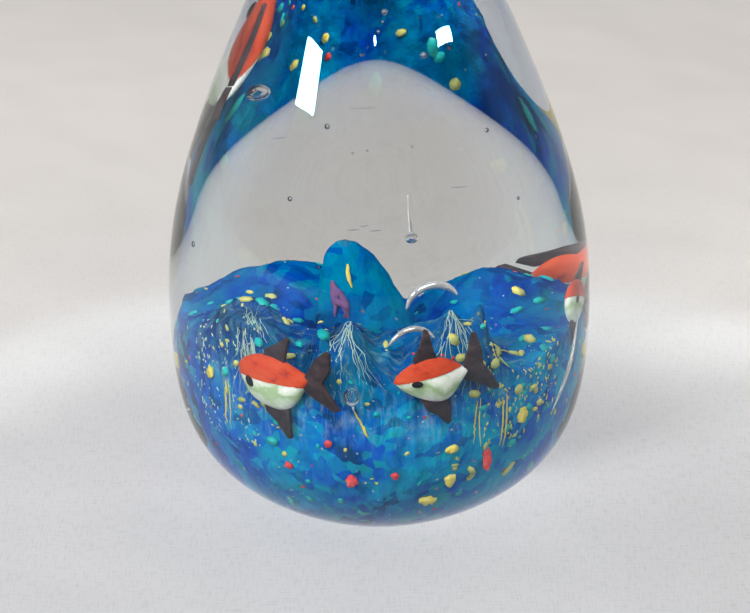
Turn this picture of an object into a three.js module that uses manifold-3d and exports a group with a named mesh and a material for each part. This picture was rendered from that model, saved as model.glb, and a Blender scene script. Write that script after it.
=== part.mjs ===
// Teardrop glass paperweight: a clear casing round a blue seabed, with glass fish on its flank.
// Millimetres, +Z up. The origin is the centre of the ground base, and the front is -Y.
import * as THREE from "three";
import { mergeVertices } from "three/addons/utils/BufferGeometryUtils.js";
import Module from "manifold-3d";

const wasm = await Module();
wasm.setup();

// ---- driving dimensions ----
const GAP = 0.3; // clearance between two fused pieces

// The clear casing: flat base, belly, neck and round tip.
const HEIGHT = 143;
const BASE_RADIUS = 20.5;
const BELLY_RADIUS = 40;
const BELLY_HEIGHT = 38;
const NECK_RADIUS = 14.3;
const NECK_HEIGHT = 118;
const CASING_SIDES = 44;

// The seabed: a drum with a rounded underside and a poked top.
const BED_RADIUS = 24.2;
const BED_BOTTOM = 10;
const BED_FLAT_RADIUS = 12.5; // the flat underside
const BED_ROUND_TOP = 26; // where the rounded underside meets the upright wall
const BED_RIM = 33;
const BED_LEVEL = 35; // the top between the waves
const BED_SIDES = 40;
const BED_RINGS = 9;

// The stub of clear glass that closes the base under the seabed.
const STUB_RADIUS = 8;

// One fish, nose to tail root, lying along its own X axis with its nose at -X.
const FISH_NOSE = -6.6;
const FISH_ROOT = 5.6;
const FISH_HALF_HEIGHT = 4.7;
const FISH_FLATNESS = 0.5; // thickness over height
const FISH_SPLIT = 0.4; // the height where the orange back meets the belly
const FIN_THICKNESS = 1.2;
const EYE_RADIUS = 0.85;

// Waves and points poked into the seabed: place, height of the top, reach on the seabed.
const WAVES = [
  { x: -17, y: -12, top: 45, reach: 10 },
  { x: -4, y: -16, top: 47.5, reach: 9 },
  { x: 10.5, y: -15, top: 50.5, reach: 10 },
  { x: -9, y: 14, top: 43, reach: 12 },
  { x: 12, y: 11, top: 42, reach: 11 },
  { x: -20, y: 3, top: 40, reach: 9 },
  { x: 20, y: -2, top: 38, reach: 8 },
];

// Where each fish lies: the way it faces out (degrees from the front, towards +X), how far from the
// axis, how high, how much its nose dips (degrees), and its size.
const FISH = [
  { name: "left_fish", facing: -41, out: 24.6, height: 34.5, dip: 5, size: 1.05 },
  { name: "right_fish", facing: 18, out: 24.6, height: 37, dip: 1, size: 0.96 },
  { name: "side_fish", facing: 98, out: 24.8, height: 37.5, dip: -30, size: 0.72 },
  { name: "rear_right_fish", facing: 136, out: 24.8, height: 36, dip: -12, size: 1 },
];

// Chips of crushed glass on the seabed's wall: the way each faces out (degrees), height, and half
// its length, width and thickness.
const RED_CHIPS = [
  { facing: -12, height: 17, half: [1.1, 1.6, 0.7] },
  { facing: -20, height: 24, half: [0.8, 0.9, 0.6] },
  { facing: 5, height: 18, half: [0.9, 0.8, 0.6] },
  { facing: -38, height: 18, half: [0.9, 0.8, 0.6] },
  { facing: 43, height: 19, half: [0.9, 3.6, 0.6] },
];
const YELLOW_CHIPS = [
  { facing: 59, height: 24, half: [1.4, 2, 0.7] },
  { facing: 27, height: 22, half: [1.5, 1, 0.7] },
  { facing: 28, height: 16, half: [1.1, 1.6, 0.7] },
  { facing: 20, height: 13, half: [2, 1.2, 0.7] },
  { facing: -76, height: 30, half: [1.1, 1.7, 0.7] },
  { facing: 118, height: 24, half: [1.5, 1.9, 0.7] },
  { facing: 175, height: 26, half: [1.5, 1.2, 0.7] },
  { facing: -120, height: 23, half: [1.2, 1.8, 0.7] },
];

// Threads of pulled yellow glass that run down the wall: facing (degrees), top and bottom heights.
const THREADS = [
  { facing: -66, top: 31, bottom: 20 },
  { facing: 38, top: 31, bottom: 20 },
  { facing: 50, top: 30, bottom: 18 },
  { facing: -170, top: 31, bottom: 20 },
];
const THREAD_RADIUS = 0.5;

// ---- materials ----
function finish(color, roughness) {
  return new THREE.MeshStandardMaterial({ color, roughness, metalness: 0 });
}
const CLEAR = () => {
  const glass = finish(0xe9ecea, 0.03);
  glass.transparent = true;
  glass.opacity = 0.25;
  return glass;
};
const SEABED = () => finish(0x0a5fb4, 0.2);
const ROCK = () => finish(0x1f97a8, 0.2);
const ORANGE = () => finish(0xe4502c, 0.15);
const BELLY = () => finish(0xc3d2bd, 0.15);
const FIN = () => finish(0x2c2a2c, 0.2);
const RED = () => finish(0xd8484a, 0.2);
const YELLOW = () => finish(0xe0cf5a, 0.2);

// ---- solids ----
function solid(geometry) {
  const bare = geometry.index ? geometry.toNonIndexed() : geometry.clone();
  bare.deleteAttribute("normal");
  bare.deleteAttribute("uv");
  const merged = mergeVertices(bare, 1e-4);
  return new wasm.Manifold(
    new wasm.Mesh({
      numProp: 3,
      vertProperties: merged.attributes.position.array,
      triVerts: new Uint32Array(merged.index.array),
    }),
  );
}

function geometryOf(manifold) {
  const made = manifold.getMesh();
  return new THREE.BufferGeometry()
    .setAttribute("position", new THREE.BufferAttribute(made.vertProperties, 3))
    .setIndex(new THREE.BufferAttribute(made.triVerts, 1));
}

// Turns a piece made flat in X (along), Y (up) and Z (towards the viewer) to face outwards.
function placement(facing, out, height, dip = 0) {
  const turn = THREE.MathUtils.degToRad(facing);
  return new THREE.Matrix4()
    .makeTranslation(out * Math.sin(turn), -out * Math.cos(turn), height)
    .multiply(new THREE.Matrix4().makeRotationZ(turn))
    .multiply(new THREE.Matrix4().makeRotationX(Math.PI / 2))
    .multiply(new THREE.Matrix4().makeRotationZ(THREE.MathUtils.degToRad(dip)));
}

// A closed shape turned round the Z axis from a list of [radius, height].
function turned(profile, sides) {
  const points = profile.map(([radius, height]) => new THREE.Vector2(radius, height));
  return new THREE.LatheGeometry(points, sides).rotateX(Math.PI / 2);
}

// ---- the casing's outside ----
function casingOutside() {
  const point = (radius, height) => new THREE.Vector2(radius, height);
  const base = point(BASE_RADIUS, 0);
  const belly = point(BELLY_RADIUS, BELLY_HEIGHT);
  const neck = point(NECK_RADIUS, NECK_HEIGHT);
  const tip = point(0, HEIGHT);
  const lower = new THREE.CubicBezierCurve(
    base,
    point(37, 9.5),
    point(BELLY_RADIUS, 16.5),
    belly,
  );
  const upper = new THREE.CubicBezierCurve(
    belly,
    point(BELLY_RADIUS, 57.8),
    point(35.6, 73),
    neck,
  );
  const dome = new THREE.CubicBezierCurve(neck, point(9.2, 128.9), point(7, HEIGHT), tip);
  const outline = [
    point(0, 0),
    ...lower.getPoints(8),
    ...upper.getPoints(11).slice(1),
    ...dome.getPoints(5).slice(1),
  ];
  outline.at(-1).x = 0;
  return turned(
    outline.map(({ x, y }) => [x, y]),
    CASING_SIDES,
  );
}

// ---- the seabed ----
// A poke is tallest at its middle and falls away in a hollow curve, like a point pulled with a pick.
function topHeight(x, y) {
  const edge = Math.hypot(x, y) / BED_RADIUS;
  const level = BED_LEVEL - (BED_LEVEL - BED_RIM) * edge ** 4;
  const rises = WAVES.map((wave) => {
    const near = Math.max(0, 1 - Math.hypot(x - wave.x, y - wave.y) / wave.reach);
    return (wave.top - level) * near ** 1.6;
  });
  return level + Math.max(...rises);
}

function wallRadius(height) {
  const down = Math.max(0, (BED_ROUND_TOP - height) / (BED_ROUND_TOP - BED_BOTTOM));
  return BED_FLAT_RADIUS + (BED_RADIUS - BED_FLAT_RADIUS) * Math.sqrt(Math.max(0, 1 - down ** 2));
}

// The seabed as rings of points from the middle of its top, over the rim, down to its underside.
function seabed(grow) {
  const rings = [];
  const ring = (radius, heightAt) => rings.push({ radius, heightAt });
  const raised = (x, y) => topHeight(x, y) + 2 * grow;
  for (let i = 1; i < BED_RINGS; i += 1) {
    ring((BED_RADIUS * i) / BED_RINGS, raised);
  }
  ring(BED_RADIUS + grow, raised);
  ring(BED_RADIUS + grow, () => BED_ROUND_TOP);
  for (const angle of [25, 50, 70, 90]) {
    const turn = THREE.MathUtils.degToRad(angle);
    const out = BED_FLAT_RADIUS + (BED_RADIUS - BED_FLAT_RADIUS) * Math.cos(turn) + grow;
    const height = BED_ROUND_TOP - (BED_ROUND_TOP - BED_BOTTOM + grow) * Math.sin(turn);
    ring(out, () => height);
  }
  const position = [0, 0, topHeight(0, 0) + 2 * grow];
  for (const { radius: out, heightAt } of rings) {
    for (let side = 0; side < BED_SIDES; side += 1) {
      const angle = (side / BED_SIDES) * 2 * Math.PI;
      const x = out * Math.cos(angle);
      const y = out * Math.sin(angle);
      position.push(x, y, heightAt(x, y));
    }
  }
  position.push(0, 0, BED_BOTTOM - grow);
  const last = rings.length * BED_SIDES + 1;
  const at = (row, side) => 1 + row * BED_SIDES + (side % BED_SIDES);
  const index = [];
  for (let side = 0; side < BED_SIDES; side += 1) {
    index.push(0, at(0, side), at(0, side + 1));
    for (let row = 1; row < rings.length; row += 1) {
      index.push(at(row - 1, side), at(row, side), at(row, side + 1));
      index.push(at(row - 1, side), at(row, side + 1), at(row - 1, side + 1));
    }
    index.push(at(rings.length - 1, side), last, at(rings.length - 1, side + 1));
  }
  return new THREE.BufferGeometry()
    .setAttribute("position", new THREE.Float32BufferAttribute(position, 3))
    .setIndex(index);
}

// The tall rock: a leaning, flattened spike pulled up from the middle of the seabed.
const ROCK_LEAN = 0.13; // sideways per millimetre up
const ROCK_FOOT = 38; // the height that stays in place as it leans
function tallRock(grow) {
  const spike = turned(
    [
      [0, 30 - grow],
      [5.2 + grow, 30 - grow],
      [4.9 + grow, 40],
      [3.2 + grow, 47],
      [1.6 + grow, 51.5 + grow],
      [0, 53 + grow],
    ],
    12,
  );
  const lean = new THREE.Matrix4().set(
    ...[1, 0, -ROCK_LEAN, ROCK_LEAN * ROCK_FOOT],
    ...[0, 1, 0, 0],
    ...[0, 0, 1, 0],
    ...[0, 0, 0, 1],
  );
  return spike.scale(1, 0.6, 1).applyMatrix4(lean).translate(-2.6, 2, 0);
}

function stub(grow) {
  const radius = STUB_RADIUS + grow;
  const top = BED_BOTTOM - GAP + 2 * grow;
  const foot = grow > 0 ? -1 : 0;
  const profile = [
    [0, foot],
    [radius, foot],
    [radius, top],
    [0, top],
  ];
  return turned(profile, 24);
}

// ---- a fish ----
function fishBody(grow) {
  const nose = new THREE.Vector2(0, FISH_NOSE - grow);
  const root = new THREE.Vector2(0, FISH_ROOT + grow);
  const side = (share, half) => {
    return new THREE.Vector2(half + grow, FISH_NOSE + share * (FISH_ROOT - FISH_NOSE));
  };
  const outline = [
    nose,
    side(0.06, 1.1),
    side(0.2, 3),
    side(0.38, FISH_HALF_HEIGHT * 0.95),
    side(0.56, FISH_HALF_HEIGHT),
    side(0.74, FISH_HALF_HEIGHT * 0.78),
    side(0.9, 2),
    side(0.99, 1.2),
    root,
  ];
  return new THREE.LatheGeometry(outline, 12)
    .rotateZ(-Math.PI / 2)
    .scale(1, 1, FISH_FLATNESS)
    .translate(0, -0.3, 0);
}

// The half space above or below a level, as a block.
function block(bottom, top) {
  return solid(new THREE.BoxGeometry(40, top - bottom, 40).translate(0, (top + bottom) / 2, 0));
}

function fin(points, grow) {
  const shape = new THREE.Shape(points.map(([x, y]) => new THREE.Vector2(x, y)));
  const options = { depth: FIN_THICKNESS, bevelEnabled: grow > 0 };
  Object.assign(options, { bevelSize: grow, bevelThickness: grow, bevelSegments: 1 });
  return new THREE.ExtrudeGeometry(shape, options).translate(0, 0, -FIN_THICKNESS / 2);
}
const DORSAL_OUTLINE = [
  [-3, 3],
  [1.8, 2.6],
  [2.1, 5.4],
  [2.3, 8.4],
  [1.6, 8.7],
  [-0.4, 6.6],
  [-3, 4.6],
];
const TAIL_OUTLINE = [
  [4, 1.2],
  [6.2, 1.6],
  [9.8, 6.4],
  [10.9, 6.2],
  [10.2, 2.4],
  [9.4, 0.2],
  [12.4, -4.3],
  [11.4, -5],
  [7.4, -2.2],
  [4, -1.4],
];
const BELLY_FIN_OUTLINE = [
  [-2.4, -3],
  [2.4, -2.6],
  [2.9, -6.4],
  [3.4, -9.8],
  [2.8, -10.1],
  [0.4, -7],
  [-2.6, -5.2],
];

function eye(grow) {
  return new THREE.SphereGeometry(1, 8, 6)
    .scale(EYE_RADIUS + grow, EYE_RADIUS * 1.4 + grow, 1.9 + grow)
    .translate(-4.2, -0.3, 0.4);
}

// Every piece of one fish at its own origin, and the room that the fish needs in the glass.
function fishPieces() {
  const body = solid(fishBody(0));
  const clearOfBody = solid(fishBody(GAP));
  const eyePiece = solid(eye(0)).intersect(solid(new THREE.BoxGeometry(9, 9, 9).translate(-4, 0, 4.5)));
  const clearOfEye = solid(eye(GAP));
  const fins = {
    dorsal_fin: DORSAL_OUTLINE,
    tail_fin: TAIL_OUTLINE,
    belly_fin: BELLY_FIN_OUTLINE,
  };
  const pieces = {
    back: [body.intersect(block(FISH_SPLIT + GAP / 2, 20)).subtract(clearOfEye), ORANGE],
    belly: [body.intersect(block(-20, FISH_SPLIT - GAP / 2)).subtract(clearOfEye), BELLY],
    eye: [eyePiece, FIN],
  };
  let room = clearOfBody.add(clearOfEye);
  for (const [name, outline] of Object.entries(fins)) {
    pieces[name] = [solid(fin(outline, 0)).subtract(clearOfBody), FIN];
    room = room.add(solid(fin(outline, GAP)));
  }
  return { pieces, room };
}

// ---- chips and threads ----
function chip(half, grow) {
  const [along, up, thick] = half;
  return new THREE.IcosahedronGeometry(1, 0).scale(along + grow, up + grow, thick + grow);
}

function thread(spot, grow) {
  const turn = THREE.MathUtils.degToRad(spot.facing);
  const points = [0, 0.25, 0.5, 0.75, 1].map((share) => {
    const height = spot.top + grow + share * (spot.bottom - spot.top - 2 * grow);
    const out = wallRadius(height) + 0.1;
    const swing = turn + 0.03 * Math.sin(share * 6);
    return new THREE.Vector3(out * Math.sin(swing), -out * Math.cos(swing), height);
  });
  const path = new THREE.CatmullRomCurve3(points);
  const section = new THREE.Shape();
  section.absarc(0, 0, THREAD_RADIUS + grow, 0, 2 * Math.PI, false);
  return new THREE.ExtrudeGeometry(section, {
    steps: 8,
    curveSegments: 6,
    bevelEnabled: false,
    extrudePath: path,
  });
}

// ---- assembly ----
const paperweight = new THREE.Group();

function place(name, shape, material) {
  const mesh = new THREE.Mesh(shape, material);
  mesh.name = name;
  paperweight.add(mesh);
  return mesh;
}

const rock = solid(tallRock(0));
const rockRoom = solid(tallRock(GAP));
const bedRoom = solid(seabed(GAP));
let bed = solid(seabed(0)).subtract(rockRoom);
let cavity = bedRoom.add(rockRoom).add(solid(stub(GAP)));

const { pieces, room } = fishPieces();
for (const { name, facing, out, height, dip, size } of FISH) {
  const matrix = placement(facing, out, height, dip);
  matrix.scale(new THREE.Vector3(size, size, size));
  const fishRoom = room.transform(matrix.elements);
  bed = bed.subtract(fishRoom);
  cavity = cavity.add(fishRoom);
  const fish = new THREE.Group();
  fish.applyMatrix4(matrix);
  paperweight.add(fish);
  for (const [piece, [shape, material]] of Object.entries(pieces)) {
    const mesh = new THREE.Mesh(geometryOf(shape), material());
    mesh.name = `${name}_${piece}`;
    fish.add(mesh);
  }
}

function placeChips(chips, colour, material) {
  chips.forEach(({ facing, height, half }, i) => {
    const matrix = placement(facing, wallRadius(height), height).elements;
    const piece = solid(chip(half, 0)).transform(matrix).subtract(bedRoom);
    cavity = cavity.add(solid(chip(half, GAP)).transform(matrix));
    place(`${colour}_chip_${i + 1}`, geometryOf(piece), material());
  });
}
placeChips(RED_CHIPS, "red", RED);
placeChips(YELLOW_CHIPS, "yellow", YELLOW);

THREADS.forEach((spot, i) => {
  const piece = solid(thread(spot, 0)).subtract(bedRoom);
  cavity = cavity.add(solid(thread(spot, GAP)));
  place(`yellow_thread_${i + 1}`, geometryOf(piece), YELLOW());
});

place("seabed", geometryOf(bed), SEABED());
place("tall_rock", geometryOf(rock), ROCK());
place("punty_stub", stub(0), CLEAR());
place("clear_casing", geometryOf(solid(casingOutside()).subtract(cavity)), CLEAR());

export default paperweight;
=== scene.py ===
# %% [markdown]
# # A teardrop glass paperweight with a seabed inside
#
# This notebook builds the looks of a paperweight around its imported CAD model. The real one is made hot: a
# gather of glass is rolled in crushed blue glass, poked with a pick so that it stands up in waves, dressed
# with little glass fish, and dipped in clear glass that is drawn out to a teardrop. The cells follow that
# order. Everything is in metres, and the front of the paperweight looks towards -Y.

# %% Load the frame
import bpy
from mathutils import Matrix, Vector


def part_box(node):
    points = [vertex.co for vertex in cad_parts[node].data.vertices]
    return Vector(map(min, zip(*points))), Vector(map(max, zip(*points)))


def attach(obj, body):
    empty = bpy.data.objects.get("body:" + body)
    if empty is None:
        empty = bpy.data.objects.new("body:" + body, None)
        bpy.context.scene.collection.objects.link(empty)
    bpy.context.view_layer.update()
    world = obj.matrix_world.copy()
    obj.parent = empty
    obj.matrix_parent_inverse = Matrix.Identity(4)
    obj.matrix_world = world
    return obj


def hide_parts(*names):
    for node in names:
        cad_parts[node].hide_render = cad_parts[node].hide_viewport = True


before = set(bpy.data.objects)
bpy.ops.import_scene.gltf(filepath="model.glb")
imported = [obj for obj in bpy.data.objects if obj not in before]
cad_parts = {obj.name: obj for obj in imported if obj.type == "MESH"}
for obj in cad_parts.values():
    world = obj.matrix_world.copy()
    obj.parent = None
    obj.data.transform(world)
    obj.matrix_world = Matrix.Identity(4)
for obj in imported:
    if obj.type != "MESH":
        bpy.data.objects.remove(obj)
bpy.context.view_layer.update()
print("CAD nodes:", len(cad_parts))

# %% Tools of the trade
import math
import random

import bpy
from mathutils import Matrix, Vector

MM = 0.001
scene = bpy.context.scene


def deselect():
    bpy.ops.object.select_all(action="DESELECT")


def edit(choose="SELECT"):
    bpy.ops.object.mode_set(mode="EDIT")
    bpy.ops.mesh.select_all(action=choose)


def done():
    bpy.ops.object.mode_set(mode="OBJECT")
    return bpy.context.object


# %% [markdown]
# ## Camera and light
#
# The paperweight stands on a pale cloth. The camera is close and looks down at a little under 30 degrees, on
# a long lens. Glass shows what is around it more than what it is made of. So the main lamp is large and soft,
# and three narrow window-shaped lamps leave the bright marks on the shoulder of the glass: a tall one on the
# left, a short one on the right and a speck in the middle. The room is bright behind the table and dim in
# front of it, so that little of it shows in the front of the glass and the blues stay deep.

# %% Camera
LOOK_DOWN = math.radians(27.5)
ROLL = math.radians(-0.88)
DISTANCE = 450 * MM
AIM = Vector((-0.85, 0, 36.65)) * MM
LENS = 112.9

deselect()
bpy.ops.object.camera_add()
camera = bpy.context.object
camera.data.lens = LENS
camera.data.clip_start = 0.01
look = Vector((0, math.cos(LOOK_DOWN), -math.sin(LOOK_DOWN)))
turn = Matrix.Rotation(math.pi / 2 - LOOK_DOWN, 4, "X") @ Matrix.Rotation(ROLL, 4, "Z")
camera.matrix_world = Matrix.Translation(AIM - look * DISTANCE) @ turn
scene.camera = camera
print("camera at", [round(x, 3) for x in camera.matrix_world.translation])

# %% Colour handling and the room
scene.view_settings.view_transform = "Standard"
ROOM_STRENGTH = 0.43
ROOM_IN_FRONT = (0.03, 0.035, 0.04, 1)
ROOM_BEHIND = (0.95, 0.97, 1, 1)
ROOM_FADE = 0.25  # the room goes from dim to bright between directions whose Y is minus this and zero

world = bpy.data.worlds.new("studio")
world.use_nodes = True
room = world.node_tree.nodes
room["Background"].inputs["Strength"].default_value = ROOM_STRENGTH
toward = room.new("ShaderNodeTexCoord")
depth = room.new("ShaderNodeSeparateXYZ")
lift = room.new("ShaderNodeMath")
lift.inputs[1].default_value = ROOM_FADE
dimming = room.new("ShaderNodeValToRGB")
dim, bright = dimming.color_ramp.elements
dim.position = 0
dim.color = ROOM_IN_FRONT
bright.position = ROOM_FADE
bright.color = ROOM_BEHIND
for source, target in (
    (toward.outputs["Generated"], depth.inputs[0]),
    (depth.outputs["Y"], lift.inputs[0]),
    (lift.outputs[0], dimming.inputs[0]),
    (dimming.outputs[0], room["Background"].inputs["Color"]),
):
    world.node_tree.links.new(source, target)
scene.world = world


# %% Lamps
def softbox(name, facing, height, distance, size, watts, target=(0, 0, 60), roll=0.0):
    """An area lamp seen from target (mm) in the direction facing and height (degrees), aimed back at it."""
    around, up = math.radians(facing), math.radians(height)
    way = Vector((math.sin(around) * math.cos(up), -math.cos(around) * math.cos(up), math.sin(up)))
    deselect()
    bpy.ops.object.light_add(type="AREA")
    lamp = bpy.context.object
    lamp.name = name
    lamp.data.shape = "RECTANGLE"
    lamp.data.size, lamp.data.size_y = size
    lamp.data.energy = watts
    aim = way.to_track_quat("Z", "Y").to_matrix().to_4x4() @ Matrix.Rotation(math.radians(roll), 4, "Z")
    lamp.matrix_world = Matrix.Translation(Vector(target) * MM + way * distance) @ aim


softbox("front_softbox", -8, 54, 1.0, (0.6, 0.6), 8.5)
softbox("left_window", -54.5, 19.9, 1.1, (0.29, 0.09), 7.6, (-11, -23, 93), 8)
softbox("right_window", 63, 20.4, 1.1, (0.27, 0.018), 1.5, (12, -20, 100), -12)
softbox("neck_window", -0.7, 27.2, 1.1, (0.03, 0.012), 0.3, (0, -23, 100))


# %% [markdown]
# ## Finishes
#
# A finish is a small network of nodes. These helpers keep each one short: one makes the material, one adds a
# node with its settings, and one turns a list of stops into a colour ramp.

# %% Node helpers
class Finish:
    """A new material, its Principled shader, and short ways to add nodes to it."""

    def __init__(self, name, roughness=0.4, specular=0.3):
        self.material = bpy.data.materials.new(name)
        self.material.use_nodes = True
        self.tree = self.material.node_tree
        self.shader = self.tree.nodes["Principled BSDF"]
        self.shader.inputs["Roughness"].default_value = roughness
        self.shader.inputs["Specular IOR Level"].default_value = specular

    def add(self, kind, **settings):
        made = self.tree.nodes.new(kind)
        for key, value in settings.items():
            if hasattr(made, key):
                setattr(made, key, value)
            else:
                made.inputs[key.replace("_", " ").title()].default_value = value
        return made

    def link(self, source, target):
        self.tree.links.new(source, target)

    def place(self):
        return self.add("ShaderNodeTexCoord").outputs["Object"]

    def stretched(self, vector, scale):
        mapping = self.add("ShaderNodeMapping")
        mapping.inputs["Scale"].default_value = scale
        self.link(vector, mapping.inputs["Vector"])
        return mapping.outputs["Vector"]

    def noise(self, vector, scale, detail=4, roughness=0.55, output="Fac"):
        made = self.add("ShaderNodeTexNoise")
        made.inputs["Scale"].default_value = scale
        made.inputs["Detail"].default_value = detail
        made.inputs["Roughness"].default_value = roughness
        self.link(vector, made.inputs["Vector"])
        return made.outputs[output]

    def cells(self, vector, scale, output="Distance"):
        made = self.add("ShaderNodeTexVoronoi")
        made.inputs["Scale"].default_value = scale
        self.link(vector, made.inputs["Vector"])
        return made.outputs[output]

    def ramp(self, value, stops, smooth=False):
        made = self.add("ShaderNodeValToRGB")
        made.color_ramp.interpolation = "EASE" if smooth else "LINEAR"
        points = made.color_ramp.elements
        while len(points) < len(stops):
            points.new(0.5)
        for point, (position, colour) in zip(points, stops):
            point.position = position
            point.color = (*colour, 1) if isinstance(colour, tuple) else (colour, colour, colour, 1)
        self.link(value, made.inputs["Fac"])
        return made.outputs["Color"]

    def math(self, operation, first, second):
        made = self.add("ShaderNodeMath", operation=operation)
        for socket, value in zip(made.inputs, (first, second)):
            if isinstance(value, (int, float)):
                socket.default_value = value
            else:
                self.link(value, socket)
        return made.outputs["Value"]

    def mix(self, share, first, second, blend="MIX"):
        made = self.add("ShaderNodeMix", data_type="RGBA")
        made.blend_type = blend
        for socket, value in zip((made.inputs[0], made.inputs[6], made.inputs[7]), (share, first, second)):
            if isinstance(value, tuple):
                socket.default_value = (*value, 1)
            elif isinstance(value, (int, float)):
                socket.default_value = value
            else:
                self.link(value, socket)
        return made.outputs[2]

    def warp(self, vector, scale, amount):
        """The same places, pushed about by a noise, so that a pattern looks pulled while hot."""
        push = self.add("ShaderNodeVectorMath", operation="SUBTRACT")
        push.inputs[1].default_value = (0.5, 0.5, 0.5)
        self.link(self.noise(vector, scale, 3, 0.5, "Color"), push.inputs[0])
        grow = self.add("ShaderNodeVectorMath", operation="MULTIPLY_ADD")
        grow.inputs[1].default_value = (amount, amount, amount)
        self.link(push.outputs[0], grow.inputs[0])
        self.link(vector, grow.inputs[2])
        return grow.outputs[0]

    def bump(self, height, strength, depth):
        made = self.add("ShaderNodeBump")
        made.inputs["Strength"].default_value = strength
        made.inputs["Distance"].default_value = depth
        self.link(height, made.inputs["Height"])
        self.link(made.outputs["Normal"], self.shader.inputs["Normal"])

    def colour(self, socket):
        self.link(socket, self.shader.inputs["Base Color"])


# Colours of the glass, as linear red, green and blue.
NAVY = (0.0, 0.04, 0.15)
COBALT = (0.0, 0.08, 0.5)
AZURE = (0.0, 0.2, 0.5)
TURQUOISE = (0.0, 0.34, 0.56)
TEAL = (0.0, 0.42, 0.47)
AQUA_WHITE = (0.42, 0.66, 0.66)
YELLOW = (0.68, 0.56, 0.1)
RED = (0.66, 0.06, 0.07)
ORANGE = (0.5, 0.05, 0.018)
MILK = (0.66, 0.62, 0.58)
BLACK = (0.03, 0.022, 0.026)
GLASS_INDEX = 1.51


# %% [markdown]
# ## The seabed's finish
#
# Crushed glass melts where it lies, so it is never one blue: big soft patches of cobalt and turquoise, small
# sharp flakes, a few warm specks, and on the poked flanks fine pale lines where everything was pulled
# upwards. The same places feed every layer, first warped, so that the layers look dragged by one hand.

# %% Frit finish
LACE_LAYERS = ((330, 0.017, 0.55), (800, 0.024, 0.42))  # scale, half width and strength of each set of veins


def frit_finish(name, shift=0.0, streak_share=1.0):
    f = Finish(name, roughness=0.6, specular=0.0)
    pulled = f.warp(f.place(), 70, 7 * MM)
    fine = f.warp(pulled, 380, 1.2 * MM)
    # Broad patches, with a push towards cobalt on the left and azure on the right.
    side = f.add("ShaderNodeSeparateXYZ")
    f.link(f.place(), side.inputs[0])
    body = f.math("ADD", f.noise(pulled, 105, 4, 0.55), shift)
    body = f.math("ADD", body, f.math("MULTIPLY", side.outputs["X"], 1.6))
    colour = f.ramp(
        body,
        [(0.32, NAVY), (0.42, COBALT), (0.54, AZURE), (0.66, TURQUOISE), (0.76, TEAL)],
    )
    # Small flakes that melted flat, each a shade off its patch.
    pick = f.add("ShaderNodeSeparateColor")
    f.link(f.cells(fine, 520, "Color"), pick.inputs[0])
    flake_colour = f.ramp(
        pick.outputs[0],
        [(0.0, NAVY), (0.25, COBALT), (0.5, AZURE), (0.75, TURQUOISE), (1.0, (0.0, 0.36, 0.38))],
    )
    flake_mask = f.ramp(pick.outputs[1], [(0.45, 0.0), (0.7, 0.7)])
    colour = f.mix(flake_mask, colour, flake_colour)
    # Lines pulled upwards: a pattern that hardly changes with height.
    upright = f.stretched(fine, (1, 1, 0.1))
    lines = f.noise(upright, 900, 4, 0.7)
    patches = f.ramp(f.noise(pulled, 65, 3), [(0.47, 0.0), (0.62, 1.0)])
    line_mask = f.ramp(lines, [(0.57, 0.0), (0.74, 0.5 * streak_share)])
    colour = f.mix(f.math("MULTIPLY", line_mask, patches), colour, (0.02, 0.34, 0.42))
    # Lace: thin veins that fan out from the peaks, in places and at a strength stored with the mesh.
    lace = f.add("ShaderNodeAttribute", attribute_name="lace").outputs["Fac"]
    drape = f.warp(f.add("ShaderNodeAttribute", attribute_name="drape").outputs["Vector"], 300, 1.6 * MM)
    colour = f.mix(f.math("MULTIPLY", lace, 0.45), colour, (0.005, 0.1, 0.24))
    for scale, width, share in LACE_LAYERS:
        middle = f.math("ABSOLUTE", f.math("SUBTRACT", f.noise(drape, scale, 3, 0.5), 0.5), 0)
        vein = f.ramp(middle, [(0.0, share), (width, share * 0.35), (width * 2, 0.0)])
        broken = f.ramp(f.noise(fine, 420, 2), [(0.42, 0.25), (0.58, 1.0)])
        vein = f.math("MULTIPLY", f.math("MULTIPLY", vein, broken), lace)
        colour = f.mix(vein, colour, (0.42, 0.56, 0.5))
    # Specks: the middles of a few small cells.
    near = f.cells(fine, 1000, "Distance")
    speck = f.add("ShaderNodeSeparateColor")
    f.link(f.cells(fine, 1000, "Color"), speck.inputs[0])
    speck_colour = f.ramp(
        speck.outputs[0],
        [(0.0, (0.1, 0.45, 0.5)), (0.5, AQUA_WHITE), (0.7, YELLOW), (0.9, RED), (1.0, MILK)],
    )
    chosen = f.ramp(speck.outputs[2], [(0.91, 0.0), (0.94, 0.85)])
    close = f.ramp(near, [(0.12, 1.0), (0.26, 0.0)])
    colour = f.mix(f.math("MULTIPLY", chosen, close), colour, speck_colour)
    # Painted shade: the colour is darkened from 31 to 36 mm up and fully above that, so the top of the seabed
    # and the tall rock look less lit than the wall.
    height = f.math("MULTIPLY", side.outputs["Z"], 20)
    shade = f.ramp(height, [(0.62, (1.0, 1.0, 1.0)), (0.72, (0.35, 0.5, 0.62))])
    f.colour(f.mix(1.0, colour, shade, "MULTIPLY"))
    f.bump(f.math("ADD", lines, f.noise(fine, 300, 4)), 0.6, 0.6 * MM)
    return f.material


SEABED_FINISH = frit_finish("poked_blue_frit")
ROCK_FINISH = frit_finish("pulled_teal_frit", shift=0.14, streak_share=0.6)
print("frit finishes:", SEABED_FINISH.name, ROCK_FINISH.name)


# %% [markdown]
# ## Turning a shape
#
# Glass turned on an iron is a shape of revolution. One vertex is extruded through the outline, and Spin takes
# the line once round the axis. The seam and the two poles are merged before the normals are made to agree.

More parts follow.
